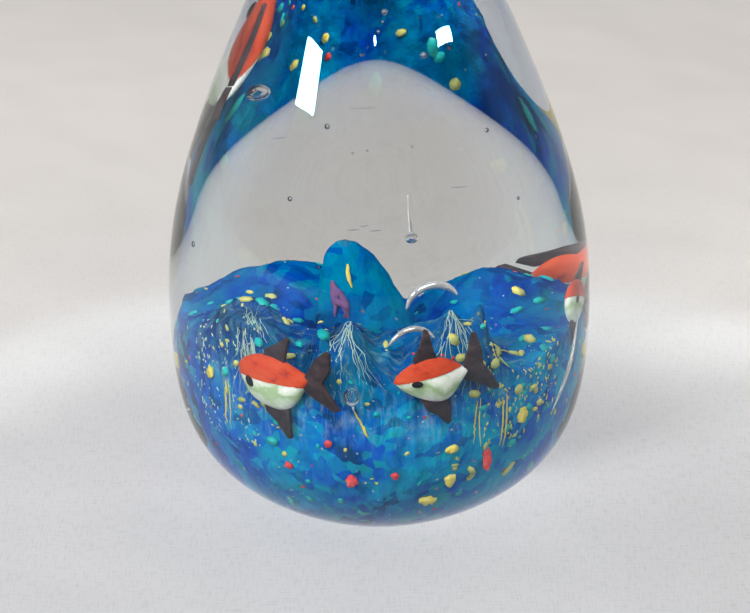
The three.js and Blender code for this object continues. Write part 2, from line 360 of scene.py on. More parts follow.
# %% Turning helper
def turned(name, outline, steps):
    """A closed solid of revolution round Z, from (radius, height) pairs that start and end on the axis."""
    deselect()
    bpy.ops.mesh.primitive_plane_add(size=MM)
    edit()
    bpy.ops.mesh.merge(type="CENTER")
    at = Vector((outline[0][0], 0, outline[0][1]))
    bpy.ops.transform.translate(value=at)
    for radius, height in outline[1:]:
        goal = Vector((radius, 0, height))
        bpy.ops.mesh.extrude_region_move(TRANSFORM_OT_translate={"value": goal - at})
        at = goal
    bpy.ops.mesh.select_all(action="SELECT")
    bpy.ops.mesh.spin(steps=steps, angle=2 * math.pi, center=(0, 0, 0), axis=(0, 0, 1))
    bpy.ops.mesh.select_all(action="SELECT")
    bpy.ops.mesh.remove_doubles(threshold=1e-6)
    bpy.ops.mesh.normals_make_consistent(inside=False)
    piece = done()
    piece.name = name
    bpy.ops.object.transform_apply(location=True, rotation=True, scale=True)
    return piece


def settle(piece, material, *nodes, smooth=True):
    """Gives a finished piece its finish, hangs it on the root body and hides the CAD parts it stands for."""
    deselect()
    piece.select_set(True)
    bpy.context.view_layer.objects.active = piece
    if smooth:
        bpy.ops.object.shade_smooth()
    piece.data.materials.clear()
    piece.data.materials.append(material)
    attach(piece, "root")
    if nodes:
        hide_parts(*nodes)
    return piece


def curve_through(a, b, c, d, steps):
    """Points on the cubic curve from a to d with handles b and c."""
    points = []
    for i in range(steps + 1):
        t = i / steps
        weights = ((1 - t) ** 3, 3 * t * (1 - t) ** 2, 3 * t * t * (1 - t), t**3)
        points.append(tuple(sum(w * p[k] for w, p in zip(weights, (a, b, c, d))) for k in (0, 1)))
    return points


# %% [markdown]
# ## The seabed
#
# The coloured gather is a drum with a rounded underside. Its top starts level and is then poked up, one wave
# at a time, with proportional editing: the picked vertex is the tip of the glassmaker's pick, and the falloff
# decides whether the wave is a soft hill or a pulled point.

# %% Seabed drum
BED_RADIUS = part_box("seabed")[1].x - 0.3 * MM
BED_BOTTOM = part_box("seabed")[0].z
BED_FLAT = 12.5 * MM
BED_ROUND_TOP = 26 * MM
BED_RIM = 32.6 * MM
BED_LEVEL = 35 * MM
BED_FLAT_RINGS = 8
BED_ROUND_RINGS = 20
BED_WALL_RINGS = 8
BED_TOP_RINGS = 42


def bed_outline():
    outline = [(share * BED_FLAT / BED_FLAT_RINGS, BED_BOTTOM) for share in range(BED_FLAT_RINGS + 1)]
    for i in range(1, BED_ROUND_RINGS + 1):
        turn = math.radians(90 - 90 / BED_ROUND_RINGS * i)
        radius = BED_FLAT + (BED_RADIUS - BED_FLAT) * math.cos(turn)
        outline.append((radius, BED_ROUND_TOP - (BED_ROUND_TOP - BED_BOTTOM) * math.sin(turn)))
    for i in range(1, BED_WALL_RINGS + 1):
        outline.append((BED_RADIUS, BED_ROUND_TOP + (BED_RIM - BED_ROUND_TOP) * i / BED_WALL_RINGS))
    for i in range(BED_TOP_RINGS - 1, -1, -1):
        share = i / BED_TOP_RINGS
        outline.append((BED_RADIUS * share, BED_LEVEL - (BED_LEVEL - BED_RIM) * share**4))
    return outline


seabed = turned("seabed_mass", bed_outline(), 168)
print("seabed drum:", len(seabed.data.vertices), "vertices")


# %% Poking the waves
def poke(piece, place, rise, reach, falloff, lean):
    """Pulls the piece up round its vertex nearest to place, as a pick would."""
    spot = Vector(place)
    tip = min(piece.data.vertices, key=lambda v: (v.co - spot).length).index
    edit("DESELECT")
    bpy.ops.mesh.select_mode(type="VERT")
    done()
    piece.data.vertices[tip].select = True
    bpy.ops.object.mode_set(mode="EDIT")
    bpy.ops.transform.translate(
        value=(lean[0], lean[1], rise),
        use_proportional_edit=True,
        proportional_edit_falloff=falloff,
        proportional_size=reach,
    )
    done()


# Each wave: x, y, how far its tip is pulled up, how far it reaches, falloff and lean, in millimetres.
POKED_FROM = 36 * MM
WAVES = [
    (-15, -6, 3.5, 12, "SMOOTH", (0, 0)),
    (-19, -9, 9.5, 13, "SMOOTH", (0, 0)),
    (-17.5, -12, 5, 8, "LINEAR", (0, 0)),
    (-11, -17, -3, 7, "SMOOTH", (0, 0)),
    (3, -18, -3.5, 8, "SMOOTH", (0, 0)),
    (17, -12, -2.5, 8, "SMOOTH", (0, 0)),
    (-4, -15.5, 10.5, 12.5, "LINEAR", (0, -0.5)),
    (-4.6, -15.8, 8, 4.8, "SHARP", (0, -0.4)),
    (10.5, -14.5, 12, 12.5, "LINEAR", (0, -0.5)),
    (10.2, -15, 9, 5.2, "SHARP", (0, -0.4)),
    (-9, 14, 8.5, 14, "SMOOTH", (0, 0)),
    (12, 11, 7.5, 13, "SMOOTH", (0, 0)),
    (-20, 3, 4.0, 10, "SMOOTH", (0, 0)),
    (20, -2, 2.0, 9, "SMOOTH", (0, 0)),
]
for x, y, rise, reach, falloff, lean in WAVES:
    poke(seabed, (x * MM, y * MM, POKED_FROM), rise * MM, reach * MM, falloff, (lean[0] * MM, lean[1] * MM))
print("seabed top now at", round(max(v.co.z for v in seabed.data.vertices) * 1000, 1), "mm")


# %% [markdown]
# Hot glass that is poked hangs in folds. A Displace modifier with a cloudy texture gives them, and because
# the texture is read through a tall, thin empty, they run up and down. A second, finer one roughens the skin.

# %% Folds
CLOUD_SIZE = 0.25


def displaced(piece, strength, stretch):
    """Pushes the skin in and out by a cloudy texture, read through an empty as large as stretch."""
    texture = bpy.data.textures.new("folds", "CLOUDS")
    texture.noise_scale = CLOUD_SIZE
    deselect()
    bpy.ops.object.empty_add()
    ruler = bpy.context.object
    ruler.scale = stretch
    bpy.context.view_layer.update()
    deselect()
    piece.select_set(True)
    bpy.context.view_layer.objects.active = piece
    modifier = piece.modifiers.new("folds", "DISPLACE")
    modifier.texture = texture
    modifier.texture_coords = "OBJECT"
    modifier.texture_coords_object = ruler
    modifier.strength = strength
    bpy.ops.object.modifier_apply(modifier=modifier.name)
    bpy.data.objects.remove(ruler)


def subdivided(piece, levels):
    deselect()
    piece.select_set(True)
    bpy.context.view_layer.objects.active = piece
    modifier = piece.modifiers.new("smooth", "SUBSURF")
    modifier.levels = levels
    modifier.render_levels = levels
    bpy.ops.object.modifier_apply(modifier=modifier.name)


subdivided(seabed, 1)
displaced(seabed, 1.2 * MM, (8 * MM, 8 * MM, 40 * MM))
displaced(seabed, 0.5 * MM, (2.2 * MM, 2.2 * MM, 14 * MM))


LACE_PEAKS = [(-18, -12), (-4.4, -16), (10.4, -15)]
LACE_REACH = 15
LACE_DROP = 14 * MM


def store_lace(piece, peaks, reach):
    """Stores how near each vertex is to a peak, and its place on the cloth that hangs from that peak."""
    lace = piece.data.attributes.new("lace", "FLOAT", "POINT").data
    drape = piece.data.attributes.new("drape", "FLOAT_VECTOR", "POINT").data
    for vertex in piece.data.vertices:
        x, y, z = vertex.co
        along, number = min((math.hypot(x - px * MM, y - py * MM), i) for i, (px, py) in enumerate(peaks))
        px, py = peaks[number]
        turn = math.atan2(x - px * MM, py * MM - y)
        low = max(0.0, (BED_LEVEL - z) / LACE_DROP)
        lace[vertex.index].value = max(0.0, 1 - (along / (reach * MM)) ** 2) * max(0.0, 1 - low)
        drape[vertex.index].vector = (turn * 7 * MM, number * 60 * MM, (along - z) * 0.12)


store_lace(seabed, LACE_PEAKS, LACE_REACH)
settle(seabed, SEABED_FINISH, "seabed")
print("seabed:", len(seabed.data.polygons), "faces")

# %% [markdown]
# ## The tall rock
#
# A lump of teal glass was pulled up from the middle into a tall flat-sided rock that leans to the left. It is
# turned with few rings, flattened, leaned with one long proportional pull, and smoothed.

# %% Tall rock
ROCK_OUTLINE = [(0, 34), (6.2, 34.2), (5.9, 38), (5.0, 42), (4.0, 46), (2.9, 49.6), (1.6, 51.6), (0, 52.2)]
ROCK_FLATNESS = 0.6
ROCK_SHIFT = 0.6 * MM
ROCK_LEAN = -2.6 * MM

rock_low, rock_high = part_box("tall_rock")
rock_middle = (rock_low + rock_high) / 2
rock = turned("tall_teal_rock", [(r * MM, h * MM) for r, h in ROCK_OUTLINE], 40)
edit()
bpy.ops.transform.resize(value=(1, ROCK_FLATNESS, 1))
bpy.ops.transform.translate(value=(rock_middle.x + ROCK_SHIFT, rock_middle.y, 0))
done()
poke(rock, (rock_middle.x, rock_middle.y, 53 * MM), 0.001 * MM, 17 * MM, "LINEAR", (ROCK_LEAN, 0))
subdivided(rock, 2)
displaced(rock, 0.7 * MM, (6 * MM, 6 * MM, 30 * MM))
store_lace(rock, [(-4, 2)], 1)
settle(rock, ROCK_FINISH, "tall_rock")
print("tall rock:", len(rock.data.polygons), "faces")

# %% [markdown]
# ## Lampworked fish
#
# Each fish is made at the lamp from a few pieces: a milky body, an orange back laid over it, a black eye and
# three black fins. The body is lofted: one ring of vertices is extruded from station to station along the
# fish, resized at each, and drawn together at both ends. The back is a slightly fatter copy of the body, cut
# by a slanting plane. A fin is a flat outline, extruded and bevelled.

# %% Fish finishes
def stained(name, stops, scale):
    """Glass of one colour with the soft streaks that stirring leaves."""
    f = Finish(name, roughness=0.5, specular=0.05)
    pulled = f.warp(f.place(), 300, 2.5 * MM)
    f.colour(f.ramp(f.noise(f.stretched(pulled, (1, 1, 1.8)), scale, 4, 0.6), stops))
    f.bump(f.noise(pulled, 500, 3), 0.25, 0.3 * MM)
    return f.material


def belly_finish():
    f = Finish("milky_green_belly", roughness=0.5, specular=0.05)
    level = f.add("ShaderNodeAttribute", attribute_name="up").outputs["Fac"]
    pulled = f.warp(f.place(), 260, 3 * MM)
    swirl = f.math("MULTIPLY", f.math("SUBTRACT", f.noise(pulled, 260, 3), 0.5), 0.9)
    milk, pale, green = (0.84, 0.85, 0.8), (0.58, 0.68, 0.55), (0.36, 0.5, 0.28)
    colour = f.ramp(
        f.math("ADD", level, swirl),
        [(0.0, milk), (0.2, pale), (0.42, green), (0.6, (0.7, 0.77, 0.65)), (0.72, milk)],
        smooth=True,
    )
    f.colour(colour)
    f.bump(f.noise(pulled, 420, 3), 0.2, 0.3 * MM)
    return f.material


BACK_STOPS = [(0.3, (0.2, 0.02, 0.015)), (0.42, ORANGE), (0.7, (0.58, 0.085, 0.03))]
BACK_FINISH = stained("orange_back", BACK_STOPS, 260)
FIN_STOPS = [(0.35, BLACK), (0.6, (0.055, 0.035, 0.04)), (0.75, (0.1, 0.06, 0.06))]
FIN_FINISH = stained("black_fins", FIN_STOPS, 420)
EYE_FINISH = stained("black_eyes", [(0.4, (0.012, 0.01, 0.012)), (0.7, (0.03, 0.02, 0.03))], 500)
BELLY_FINISH = belly_finish()


# %% Fish shapes
BODY_CORNERS = 20


def lofted(name, stations):
    """A closed body along X. Each station is (x, top, bottom, half thickness), in millimetres."""
    stations = [[v * MM for v in station] for station in stations]
    x, top, bottom, thick = stations[0]
    deselect()
    bpy.ops.mesh.primitive_circle_add(vertices=BODY_CORNERS, radius=1, rotation=(0, math.pi / 2, 0))
    bpy.ops.object.transform_apply(location=False, rotation=True, scale=False)
    edit()
    height = (top - bottom) / 2
    bpy.ops.transform.resize(value=(1, height, thick), center_override=(0, 0, 0))
    bpy.ops.transform.translate(value=(x, (top + bottom) / 2, 0))
    for to_x, to_top, to_bottom, to_thick in stations[1:]:
        middle = (top + bottom) / 2
        to_middle = (to_top + to_bottom) / 2
        to_height = (to_top - to_bottom) / 2
        step = (to_x - x, to_middle - middle, 0)
        bpy.ops.mesh.extrude_region_move(TRANSFORM_OT_translate={"value": step})
        ratio = (1, to_height / height, to_thick / thick)
        bpy.ops.transform.resize(value=ratio, center_override=(to_x, to_middle, 0))
        x, top, bottom, height, thick = to_x, to_top, to_bottom, to_height, to_thick
    bpy.ops.mesh.merge(type="CENTER")
    bpy.ops.mesh.select_all(action="DESELECT")
    body = done()
    first = stations[0][0]
    for vertex in body.data.vertices:
        vertex.select = abs(vertex.co.x - first) < 1e-7
    bpy.ops.object.mode_set(mode="EDIT")
    bpy.ops.mesh.merge(type="CENTER")
    bpy.ops.mesh.select_all(action="SELECT")
    bpy.ops.mesh.normals_make_consistent(inside=False)
    done()
    body.name = name
    return body


FIN_THICKNESS = 0.8


def blade(name, outline):
    """A flat fin: an outline in XY, extruded along Z and rounded at its edges."""
    deselect()
    bpy.ops.mesh.primitive_plane_add(size=MM)
    edit()
    bpy.ops.mesh.merge(type="CENTER")
    points = [Vector((x, y, -FIN_THICKNESS / 2)) * MM for x, y in outline]
    bpy.ops.transform.translate(value=points[0])
    for here, there in zip(points, points[1:]):
        bpy.ops.mesh.extrude_region_move(TRANSFORM_OT_translate={"value": there - here})
    bpy.ops.mesh.select_all(action="SELECT")
    bpy.ops.mesh.edge_face_add()
    bpy.ops.mesh.extrude_region_move(TRANSFORM_OT_translate={"value": (0, 0, FIN_THICKNESS * MM)})
    bpy.ops.mesh.select_all(action="SELECT")
    bpy.ops.mesh.normals_make_consistent(inside=False)
    bpy.ops.mesh.bevel(offset=0.2 * FIN_THICKNESS * MM, segments=2, affect="EDGES")
    fin = done()
    fin.name = name
    return fin


FISH_OUT = 24.9


def laid_on_wall(piece, facing, height, dip, size):
    """Stands a piece made flat in X and Y on the seabed's wall, looking outwards."""
    around = math.radians(facing)
    spot = Vector((FISH_OUT * math.sin(around), -FISH_OUT * math.cos(around), height))
    place = Matrix.Translation(spot * MM)
    place = place @ Matrix.Rotation(around, 4, "Z") @ Matrix.Rotation(math.pi / 2, 4, "X")
    place = place @ Matrix.Rotation(math.radians(dip), 4, "Z") @ Matrix.Scale(size, 4)
    deselect()
    piece.select_set(True)
    bpy.context.view_layer.objects.active = piece
    piece.matrix_world = place
    bpy.ops.object.transform_apply(location=True, rotation=True, scale=True)


# %% One fish
LEFT_BODY = [
    (6.9, 2.0, 0.9, 0.4), (6.0, 2.3, 0.1, 0.8), (4.6, 2.9, -2.6, 1.3), (3.0, 3.7, -4.5, 1.9),
    (1.2, 4.4, -5.3, 2.3), (-0.6, 4.6, -5.0, 2.3), (-2.6, 4.3, -4.5, 2.0), (-4.2, 3.5, -3.4, 1.5),
    (-5.3, 2.6, -0.9, 0.9), (-5.9, 1.6, 0.9, 0.3),
]
LEFT_FINS = {
    "dorsal_fin": [(-1.2, 3.6), (2.6, 3.4), (3.0, 5.6), (3.9, 8.0), (3.2, 8.4), (1.4, 6.9), (-0.9, 5.6)],
    "tail_fin": [(5.6, 1.0), (6.3, 2.4), (8.4, 5.6), (10.3, 7.2), (11.2, 6.9), (10.9, 3.6), (9.3, 1.4),
                 (10.6, -1.0), (12.1, -3.2), (11.3, -3.7), (8.6, -2.3), (6.0, -0.6)],
    "belly_fin": [(-1.9, -4.4), (2.6, -4.3), (2.5, -7.2), (2.4, -10.1), (1.8, -10.3), (0.0, -7.4),
                  (-1.6, -5.8)],
}
RIGHT_BODY = [
    (6.5, 0.9, 0.0, 0.4), (5.8, 1.2, -0.4, 0.7), (4.8, 1.8, -2.0, 1.1), (3.6, 2.9, -4.0, 1.8),
    (2.0, 3.8, -5.1, 2.3), (0.0, 4.1, -4.7, 2.3), (-2.0, 3.7, -3.7, 2.0), (-3.8, 2.8, -2.5, 1.5),
    (-5.3, 1.6, -1.1, 0.9), (-6.3, 0.6, 0.1, 0.3),
]
RIGHT_FINS = {
    "dorsal_fin": [(-2.7, 3.0), (1.4, 3.2), (0.6, 5.4), (-0.2, 9.4), (-0.9, 9.8), (-1.6, 6.8), (-2.9, 4.2)],
    "tail_fin": [(5.2, -0.6), (5.4, 1.2), (6.3, 4.2), (6.9, 7.5), (7.8, 7.6), (8.8, 4.0), (8.9, 1.2),
                 (10.3, -1.2), (11.7, -4.2), (10.9, -4.6), (8.0, -2.6), (6.0, -1.6)],
    "belly_fin": [(-2.2, -3.4), (2.9, -4.2), (3.2, -6.8), (3.2, -9.4), (2.6, -9.9), (1.0, -7.8),
                  (-0.6, -6.6)],
}
# The rear fish carries its back fin and its tail low.
REAR_FINS = {
    **RIGHT_FINS,
    "dorsal_fin": [(-2.7, 3.0), (1.8, 3.2), (4.6, 2.8), (7.0, 3.8), (6.4, 4.5), (1.6, 4.9), (-2.0, 4.3)],
    "tail_fin": [(5.2, -0.6), (5.4, 1.2), (7.0, 2.2), (9.3, 3.6), (9.9, 3.2), (9.2, 1.4), (8.9, 0.2),
                 (10.3, -1.6), (11.7, -4.2), (10.9, -4.6), (8.0, -2.6), (6.0, -1.6)],
}
# Each eye: half its width and height, its lean in degrees, and its x, y and how far out.
LEFT_EYE = (0.62, 1.05, -18, -3.2, -0.3, 1.95)
RIGHT_EYE = (1.0, 0.62, 8, -2.8, -0.1, 2.0)
# Where the orange back meets the belly: its level at the middle and its slope in degrees.
LEFT_BORDER = (0.3, -2)
RIGHT_BORDER = (0.9, 9)


def fish(name, facing, height, dip, size, stations, fins, eye, border):
    """Six pieces in the place of the six CAD pieces of the same fish."""
    spot = (facing, height, dip, size)
    belly = lofted(name + "_body", stations)
    subdivided(belly, 2)
    deselect()
    belly.select_set(True)
    bpy.context.view_layer.objects.active = belly
    bpy.ops.object.duplicate()
    back = bpy.context.object
    back.name = name + "_orange_back"
    level, slope = border
    edit()
    bpy.ops.transform.shrink_fatten(value=0.16 * MM)
    bpy.ops.mesh.bisect(
        plane_co=(0, level * MM, 0),
        plane_no=(-math.sin(math.radians(slope)), math.cos(math.radians(slope)), 0),
        use_fill=True,
        clear_inner=True,
    )
    done()
    up = belly.data.attributes.new("up", "FLOAT", "POINT")
    for vertex, value in zip(belly.data.vertices, up.data):
        value.value = (vertex.co.y / MM + 5.2) / 8
    laid_on_wall(belly, *spot)
    laid_on_wall(back, *spot)
    settle(belly, BELLY_FINISH, name + "_belly")
    settle(back, BACK_FINISH, name + "_back", smooth=False)
    bpy.ops.object.shade_smooth_by_angle(angle=math.radians(50))
    for part, outline in fins.items():
        fin = blade(name + "_" + part + "_glass", outline)
        laid_on_wall(fin, *spot)
        settle(fin, FIN_FINISH, name + "_" + part, smooth=False)
        bpy.ops.object.shade_smooth_by_angle(angle=math.radians(50))
    across, up_down, lean, x, y, out = eye
    deselect()
    bpy.ops.mesh.primitive_uv_sphere_add(segments=20, ring_count=12, radius=MM)
    ball = bpy.context.object
    ball.name = name + "_eye_glass"
    edit()
    bpy.ops.transform.resize(value=(across, up_down, 0.5))
    bpy.ops.transform.rotate(value=math.radians(lean), orient_axis="Z", center_override=(0, 0, 0))
    bpy.ops.transform.translate(value=(x * MM, y * MM, out * MM))
    done()
    laid_on_wall(ball, *spot)
    settle(ball, EYE_FINISH, name + "_eye")
    print(name, "faces", facing, "degrees from the front")


LEFT = (LEFT_BODY, LEFT_FINS, LEFT_EYE, LEFT_BORDER)
RIGHT = (RIGHT_BODY, RIGHT_FINS, RIGHT_EYE, RIGHT_BORDER)
REAR = (RIGHT_BODY, REAR_FINS, RIGHT_EYE, RIGHT_BORDER)
fish("left_fish", -41, 34.5, 5, 1.05, *LEFT)
fish("right_fish", 18, 37, 1, 0.96, *RIGHT)
fish("side_fish", 98, 37.5, -30, 0.72, *LEFT)
fish("rear_right_fish", 136, 35.2, -12, 1, *REAR)

# %% [markdown]
# ## Chips of crushed glass
#
# Coarse red and yellow crumbs were rolled on first, and the heat rounded them. Each is a ball squashed flat
# against the wall and roughened, at the place and size of its CAD chip.

# %% Coarse chips
CRUMB_SCALE = 420
RED_STOPS = [(0.3, (0.45, 0.03, 0.03)), (0.5, RED), (0.75, (0.8, 0.16, 0.12))]
RED_FINISH = stained("red_chips", RED_STOPS, CRUMB_SCALE)
YELLOW_STOPS = [(0.3, (0.5, 0.5, 0.14)), (0.5, YELLOW), (0.75, (0.74, 0.68, 0.3))]
YELLOW_FINISH = stained("yellow_chips", YELLOW_STOPS, CRUMB_SCALE)


def crumb(name, node, finish, seed):
    """A melted crumb as large as the CAD chip it stands for."""
    low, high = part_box(node)
    middle = (low + high) / 2
    facing = math.atan2(middle.x, -middle.y)
    wide = (high - low).xy.length / 2 * 0.8
    deselect()
    bpy.ops.mesh.primitive_ico_sphere_add(subdivisions=3, radius=MM)
    piece = bpy.context.object
    piece.name = name
    turn = Matrix.Rotation(facing, 3, "Z")
    edit()
    bpy.ops.transform.resize(value=(wide / MM, 0.55, (high.z - low.z) / 2 / MM))
    bpy.ops.transform.rotate(value=-facing, orient_axis="Z", center_override=(0, 0, 0))
    bpy.ops.transform.translate(value=middle + turn @ Vector((0, 0.15 * MM, 0)))
    done()
    displaced(piece, 0.9 * MM, (2.4 * MM, 2.4 * MM, (2.4 + seed * 0.07) * MM))
    settle(piece, finish, node)


CHIPS = sorted(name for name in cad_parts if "chip" in name)
for seed, node in enumerate(CHIPS):
    crumb(node + "_glass", node, RED_FINISH if node.startswith("red") else YELLOW_FINISH, seed)
print("chips:", len(CHIPS))

# %% [markdown]
# ## Strands
#
# Where the pick pulled the skin, the pale crumbs drew out to hairs that run from each peak down its flanks. A
# hair is a curve with a round section that thins at both ends. Its points are walked from the peak to a place
# on the wall and dropped onto the nearest spot of the seabed, so every hair lies on the glass it came from.

# %% Strand helpers
PALE_STOPS = [(0.3, (0.2, 0.42, 0.45)), (0.5, (0.4, 0.56, 0.5)), (0.7, (0.62, 0.64, 0.42))]
PALE_FINISH = stained("pale_hairs", PALE_STOPS, 160)
GREENISH_STOPS = [(0.3, (0.3, 0.4, 0.16)), (0.5, (0.52, 0.54, 0.2)), (0.7, YELLOW)]
GREENISH_FINISH = stained("yellow_green_crumbs", GREENISH_STOPS, CRUMB_SCALE)
HAIR_ABOVE = 0.05 * MM


def wall_point(facing, height):
    around = math.radians(facing)
    return Vector((BED_RADIUS * math.sin(around), -BED_RADIUS * math.cos(around), height * MM))


def laid(point, ground):
    _, place, normal, _ = ground.closest_point_on_mesh(point)
    return place + normal * HAIR_ABOVE


def hairs(name, routes, thick, finish, node=None, steps=14, wander=0.35 * MM, ground=seabed):
    """One mesh of many hairs. Each route is (start, end), and no hair is thicker than thick, in mm."""
    curve = bpy.data.curves.new(name, "CURVE")
    curve.dimensions = "3D"
    curve.bevel_depth = MM
    curve.bevel_resolution = 1
    curve.use_fill_caps = True
    for start, end in routes:
        spline = curve.splines.new("POLY")
        spline.points.add(steps)
        phase = random.uniform(0, 6.28)
        width = random.uniform(0.45, 1) * thick
        side = (end - start).cross(Vector((start.x, start.y, 0))).normalized()
        for i, point in enumerate(spline.points):
            t = i / steps
            sway = math.sin(phase + 5 * t) * wander + random.uniform(-0.25, 0.25) * wander
            place = laid(start.lerp(end, t) + side * sway, ground)
            point.co = (*place, 1)
            point.radius = width * (0.25 + 0.75 * math.sin(math.pi * min(1, 0.08 + 0.92 * t)))
    holder = bpy.data.objects.new(name, curve)
    scene.collection.objects.link(holder)
    deselect()
    holder.select_set(True)
    bpy.context.view_layer.objects.active = holder
    bpy.ops.object.convert(target="MESH")
    piece = bpy.context.object
    piece.name = name
    edit()
    bpy.ops.mesh.normals_make_consistent(inside=False)
    done()
    settle(piece, finish, *([node] if node else []))


# %% Hairs down from the peaks
def fan(tip, facings, heights, count):
    """Routes from just round a peak to places on the wall between two facings and two heights."""
    routes = []
    for _ in range(count):
        near = Vector((random.uniform(-1, 1), random.uniform(-1, 1), random.uniform(-2.5, 0.5))) * MM
        end = wall_point(random.uniform(*facings), random.uniform(*heights))
        routes.append((Vector(tip) * MM + near, end))
    return routes


random.seed(11)
hairs("left_peak_hairs", fan((-18, -12, 45), (-64, -40), (26, 36), 26), 0.075, PALE_FINISH)
hairs("middle_peak_hairs", fan((-4.5, -16.5, 48), (-30, 4), (30, 38), 16), 0.06, PALE_FINISH)
hairs("right_peak_hairs", fan((10.4, -15.5, 50), (14, 50), (28, 38), 16), 0.06, PALE_FINISH)


def strokes(facings, heights, lengths, count):
    """Short routes that run nearly straight down the wall."""
    routes = []
    for _ in range(count):
        facing, height = random.uniform(*facings), random.uniform(*heights)
        end = wall_point(facing + random.uniform(-1, 1), height - random.uniform(*lengths))
        routes.append((wall_point(facing, height), end))
    return routes


random.seed(12)
STROKE = {"steps": 4, "wander": 0.03 * MM}
hairs("right_wall_strokes", strokes((40, 84), (20, 40), (0.3, 1.0), 150), 0.2, GREENISH_FINISH, **STROKE)
hairs("left_wall_strokes", strokes((-90, -50), (18, 40), (0.3, 0.9), 120), 0.17, PALE_FINISH, **STROKE)
print("hairs laid on the peaks and the wall")

# %% Marks on the tall rock and below the drop
PURPLE_STOPS = [(0.3, (0.09, 0.07, 0.22)), (0.5, (0.2, 0.09, 0.2)), (0.7, (0.1, 0.1, 0.3))]
PURPLE_FINISH = stained("purple_patch", PURPLE_STOPS, CRUMB_SCALE)
front = rock_middle + Vector((0, -6 * MM, 0))
bar = [(front + Vector((-2.5, 0, 7.8)) * MM, front + Vector((-1.1, 0, 3.6)) * MM)] * 2
hairs("rock_yellow_bar", bar, 0.5, YELLOW_FINISH, wander=0.05 * MM, steps=8, ground=rock)
patch = [
    (front + Vector((-5.0 + dx, 0, 4.5 - dx)) * MM, front + Vector((-4.4 + dx, 0, -1.5)) * MM)
    for dx in (0, 0.6, 1.2)
]
hairs("rock_purple_patch", patch, 0.75, PURPLE_FINISH, wander=0.1 * MM, steps=8, ground=rock)
tail = [(wall_point(-10, 31), wall_point(-5.5, 26)), (wall_point(-6.5, 28), wall_point(-5.2, 25.6))]
hairs("drop_yellow_tail", tail, 0.24, YELLOW_FINISH, wander=0.1 * MM)

# %% Yellow threads
for node in sorted(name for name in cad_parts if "thread" in name):
    low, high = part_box(node)
    middle = (low + high) / 2
    facing = math.degrees(math.atan2(middle.x, -middle.y))
    routes = []
    for aside in (-0.9, 0.4):
        top = wall_point(facing + aside, high.z / MM - abs(aside))
        routes.append((top, wall_point(facing + aside * 1.6, low.z / MM + 2 * abs(aside))))
    hairs(node + "_glass", routes, 0.2, YELLOW_FINISH, node, wander=0.12 * MM)
print("yellow threads laid")

# %% [markdown]
# ## Fine crumbs
#
# Between the coarse chips lies fine dust of every colour. One low ball is squashed into a flake. Copies of
# it are thrown at random into the seabed's room, and those that land close to its skin stick there, turned to
# lie flat. Then they are joined: one piece for each colour.

# %% Crumbs
CRUMB_TOP = 50 * MM
CRUMB_REACH = 1.5 * MM


def crumbs(name, finish, count, sizes, seed, where=lambda place: True):
    random.seed(seed)
    deselect()
    bpy.ops.mesh.primitive_ico_sphere_add(subdivisions=1, radius=MM)
    pattern = bpy.context.object
    made = []
    while len(made) < count:
        across, back = random.uniform(-1, 1) * BED_RADIUS, random.uniform(-1, 1) * BED_RADIUS
        thrown = Vector((across, back, random.uniform(BED_BOTTOM, CRUMB_TOP)))
        _, place, normal, _ = seabed.closest_point_on_mesh(thrown)
        if (place - thrown).length > CRUMB_REACH or not where(place / MM):
            continue
        flake = pattern.copy()
        flake.data = pattern.data.copy()
        scene.collection.objects.link(flake)
        wide = random.uniform(*sizes)
        stretch = Matrix.Diagonal((wide, wide * random.uniform(0.5, 0.9), 0.3 * wide, 1))
        flat = normal.to_track_quat("Z", "Y").to_matrix().to_4x4()
        spin = Matrix.Rotation(random.uniform(0, 6.28), 4, "Z")
        flake.matrix_world = Matrix.Translation(place) @ flat @ spin @ stretch
        made.append(flake)
    bpy.data.objects.remove(pattern)
    for flake in made:
        flake.select_set(True)
    bpy.context.view_layer.objects.active = made[0]
    bpy.ops.object.join()
    bpy.ops.object.transform_apply(location=True, rotation=True, scale=True)
    piece = bpy.context.object
    piece.name = name
    settle(piece, finish)
    print(name, count)


def on_top(spot):
    return spot.z > 34


def on_the_right(spot):
    return spot.x > 10 and spot.y < 0 and spot.z > 14


def on_the_left(spot):
    return spot.x < -12 and spot.y < 0 and spot.z > 24


TEAL_STOPS = [(0.3, (0.0, 0.28, 0.34)), (0.6, (0.02, 0.45, 0.42)), (0.8, AQUA_WHITE)]
TEAL_FINISH = stained("teal_crumbs", TEAL_STOPS, CRUMB_SCALE)
crumbs("white_dust", PALE_FINISH, 260, (0.06, 0.17), 21)
crumbs("yellow_crumbs", GREENISH_FINISH, 70, (0.2, 0.75), 22)
crumbs("top_yellow_crumbs", GREENISH_FINISH, 30, (0.5, 1.3), 27, on_top)
crumbs("right_yellow_crumbs", GREENISH_FINISH, 34, (0.5, 1.5), 28, on_the_right)
crumbs("left_yellow_crumbs", GREENISH_FINISH, 20, (0.4, 1.1), 29, on_the_left)
crumbs("red_crumbs", RED_FINISH, 40, (0.15, 0.5), 23)
crumbs("teal_crumbs", TEAL_FINISH, 110, (0.3, 1.3), 24)

# %% [markdown]
# ## Trapped air
#
# Every fold of the gather traps a little air. A bubble is a hole in the glass, so it has a surface of its own
# where the light passes from glass to air: the finish bends light by the inverse of the glass's index. Most
# are tiny balls, one is a ring pressed flat, one has a drawn-out tail, and three are long crescents that
# formed under the lip of a wave.

# %% Bubble finish and shapes
def bubble_finish():
    f = Finish("trapped_air")
    air = f.add("ShaderNodeBsdfGlass")
    air.inputs["IOR"].default_value = 1 / GLASS_INDEX
    air.inputs["Roughness"].default_value = 0.0
    f.link(air.outputs[0], f.tree.nodes["Material Output"].inputs["Surface"])
    return f.material


